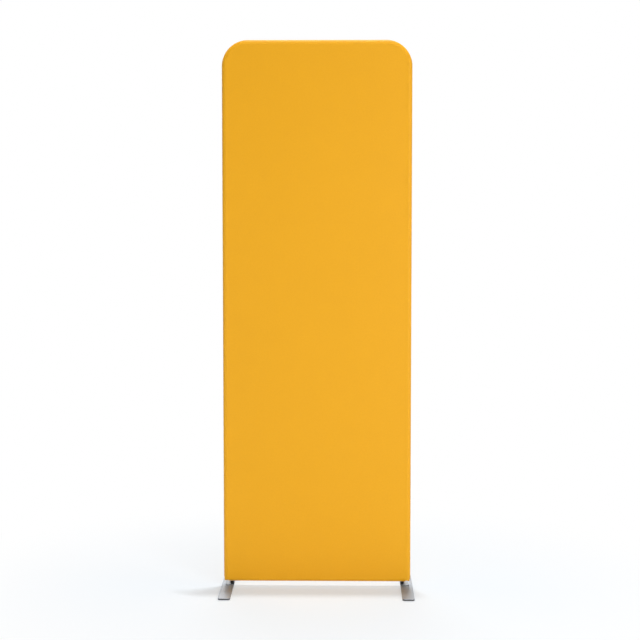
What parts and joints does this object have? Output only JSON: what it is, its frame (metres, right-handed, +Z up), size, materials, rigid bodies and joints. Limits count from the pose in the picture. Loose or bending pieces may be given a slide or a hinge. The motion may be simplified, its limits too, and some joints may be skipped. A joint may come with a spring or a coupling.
{
  "type": "fabric banner stand",
  "caption": "Tall free-standing banner: a plain stretch-cloth cover zipped over a rounded tube frame, on flat swivelling feet.",
  "frame": {"origin": "on the floor, midway between the two feet and in the middle of the banner's depth", "axes": "+X to the banner's right as seen from the front, +Y to the back, +Z up"},
  "size_m": [0.8084, 0.45, 2.3],
  "materials": {
    "amber_cloth": "matte",
    "satin_steel": "satin",
    "bright_metal": "polished",
    "tube_aluminium": "satin",
    "zinc_steel": "satin",
    "black_plastic": "satin",
    "black_rubber": "matte",
    "white_nylon": "satin",
    "zip_tape": "matte",
    "zip_coil": "satin"
  },
  "bodies": {
    "frame": {"base_connector_left": "bright_metal", "base_connector_right": "bright_metal", "lower_upright_left": "tube_aluminium", "lower_upright_right": "tube_aluminium", "middle_upright_left": "tube_aluminium", "middle_upright_right": "tube_aluminium", "corner_tube_left": "tube_aluminium", "corner_tube_right": "tube_aluminium", "top_rail": "tube_aluminium", "bottom_rail": "tube_aluminium", "rail_plug_left": "black_plastic", "rail_plug_right": "black_plastic", "rail_screw_left": "zinc_steel", "rail_screw_right": "zinc_steel", "ferrule_lower_left": "tube_aluminium", "ferrule_lower_right": "tube_aluminium", "ferrule_middle_left": "tube_aluminium", "ferrule_middle_right": "tube_aluminium", "ferrule_top_left": "tube_aluminium", "ferrule_top_right": "tube_aluminium", "leaf_spring_lower_left": "zinc_steel", "leaf_spring_lower_right": "zinc_steel", "leaf_spring_middle_left": "zinc_steel", "leaf_spring_middle_right": "zinc_steel", "leaf_spring_top_left": "zinc_steel", "leaf_spring_top_right": "zinc_steel", "cover_front_panel": "amber_cloth", "cover_back_panel": "amber_cloth", "zip_tape_lower": "zip_tape", "zip_tape_upper": "zip_tape", "zip_coil_lower": "zip_coil", "zip_coil_upper": "zip_coil", "zip_stop": "zinc_steel"},
    "foot_left": {"foot_plate_left": "satin_steel", "foot_pad_front_left": "black_rubber", "foot_pad_rear_left": "black_rubber", "pivot_bolt_left": "zinc_steel", "swivel_washer_left": "white_nylon"},
    "foot_right": {"foot_plate_right": "satin_steel", "foot_pad_front_right": "black_rubber", "foot_pad_rear_right": "black_rubber", "pivot_bolt_right": "zinc_steel", "swivel_washer_right": "white_nylon"},
    "thumb_screw_left": {"thumb_knob_left": "black_plastic", "thumb_stud_left": "zinc_steel"},
    "thumb_screw_right": {"thumb_knob_right": "black_plastic", "thumb_stud_right": "zinc_steel"},
    "button_lower_left": {"snap_button_lower_left": "zinc_steel"},
    "button_lower_right": {"snap_button_lower_right": "zinc_steel"},
    "button_middle_left": {"snap_button_middle_left": "zinc_steel"},
    "button_middle_right": {"snap_button_middle_right": "zinc_steel"},
    "button_top_left": {"snap_button_top_left": "zinc_steel"},
    "button_top_right": {"snap_button_top_right": "zinc_steel"},
    "slider": {"zip_slider": "zinc_steel"},
    "pull_tab": {"zip_pull_tab": "zinc_steel"}
  },
  "joints": [
    {"name": "foot_swivel_left", "type": "hinge", "parent": "frame", "child": "foot_left", "pos_m": [-0.3792, 0, 0.0083], "axis": [0, 0, 1], "range_deg": [-90, 90]},
    {"name": "foot_swivel_right", "type": "hinge", "parent": "frame", "child": "foot_right", "pos_m": [0.3792, 0, 0.0083], "axis": [0, 0, 1], "range_deg": [-90, 90]},
    {"name": "thumb_screw_turn_left", "type": "hinge", "parent": "frame", "child": "thumb_screw_left", "pos_m": [-0.36, 0, 0.0162], "axis": [1, 0, 0], "range_deg": [0, 540]},
    {"name": "thumb_screw_turn_right", "type": "hinge", "parent": "frame", "child": "thumb_screw_right", "pos_m": [0.36, 0, 0.0162], "axis": [-1, 0, 0], "range_deg": [0, 540]},
    {"name": "button_press_lower_left", "type": "slide", "parent": "frame", "child": "button_lower_left", "axis": [-1, 0, 0], "range_m": [0, 0.0047], "stiffness_N_per_m": 1500, "springref_m": -0.001, "deforming": ["leaf_spring_lower_left"]},
    {"name": "button_press_lower_right", "type": "slide", "parent": "frame", "child": "button_lower_right", "axis": [1, 0, 0], "range_m": [0, 0.0047], "stiffness_N_per_m": 1500, "springref_m": -0.001, "deforming": ["leaf_spring_lower_right"]},
    {"name": "button_press_middle_left", "type": "slide", "parent": "frame", "child": "button_middle_left", "axis": [-1, 0, 0], "range_m": [0, 0.0047], "stiffness_N_per_m": 1500, "springref_m": -0.001, "deforming": ["leaf_spring_middle_left"]},
    {"name": "button_press_middle_right", "type": "slide", "parent": "frame", "child": "button_middle_right", "axis": [1, 0, 0], "range_m": [0, 0.0047], "stiffness_N_per_m": 1500, "springref_m": -0.001, "deforming": ["leaf_spring_middle_right"]},
    {"name": "button_press_top_left", "type": "slide", "parent": "frame", "child": "button_top_left", "axis": [0, 0, 1], "range_m": [0, 0.0047], "stiffness_N_per_m": 1500, "springref_m": -0.001, "deforming": ["leaf_spring_top_left"]},
    {"name": "button_press_top_right", "type": "slide", "parent": "frame", "child": "button_top_right", "axis": [0, 0, 1], "range_m": [0, 0.0047], "stiffness_N_per_m": 1500, "springref_m": -0.001, "deforming": ["leaf_spring_top_right"]},
    {"name": "zip_run", "type": "slide", "parent": "frame", "child": "slider", "axis": [-1, 0, 0], "range_m": [0, 0.665], "deforming": ["zip_coil_lower", "zip_coil_upper", "zip_tape_lower", "zip_tape_upper"]},
    {"name": "pull_tab_flip", "type": "hinge", "parent": "slider", "child": "pull_tab", "pos_m": [0.3269, 0.0201, 0.0618], "axis": [0, 0, -1], "range_deg": [0, 180]}
  ]
}
